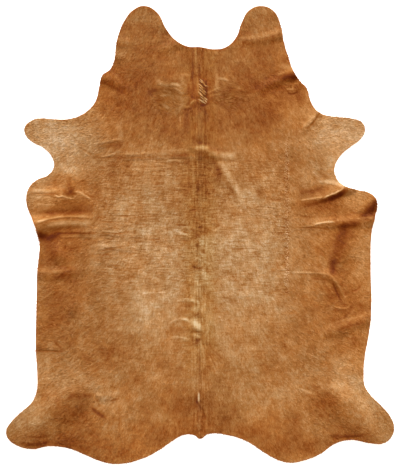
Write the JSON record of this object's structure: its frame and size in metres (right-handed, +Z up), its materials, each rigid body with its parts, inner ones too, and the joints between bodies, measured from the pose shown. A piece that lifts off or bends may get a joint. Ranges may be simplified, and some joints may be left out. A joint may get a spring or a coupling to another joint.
{
  "type": "cowhide rug",
  "caption": "Whole hair-on cowhide laid flat as a rug, with neck lobes, forelegs, hind legs and a short tail stub, raised along the creases it keeps from being folded.",
  "frame": {"origin": "middle of the hide's box on the floor that it lies on", "axes": "+X across the hide to the right as the picture shows it, +Y along the spine towards the neck, +Z up through the hair side"},
  "size_m": [1.9404, 2.2904, 0.0366],
  "materials": {
    "hide": "short lying caramel hair with a soft sheen over tanned leather, paler at the forelegs"
  },
  "bodies": {
    "root": {"hide": "hide"}
  },
  "joints": []
}
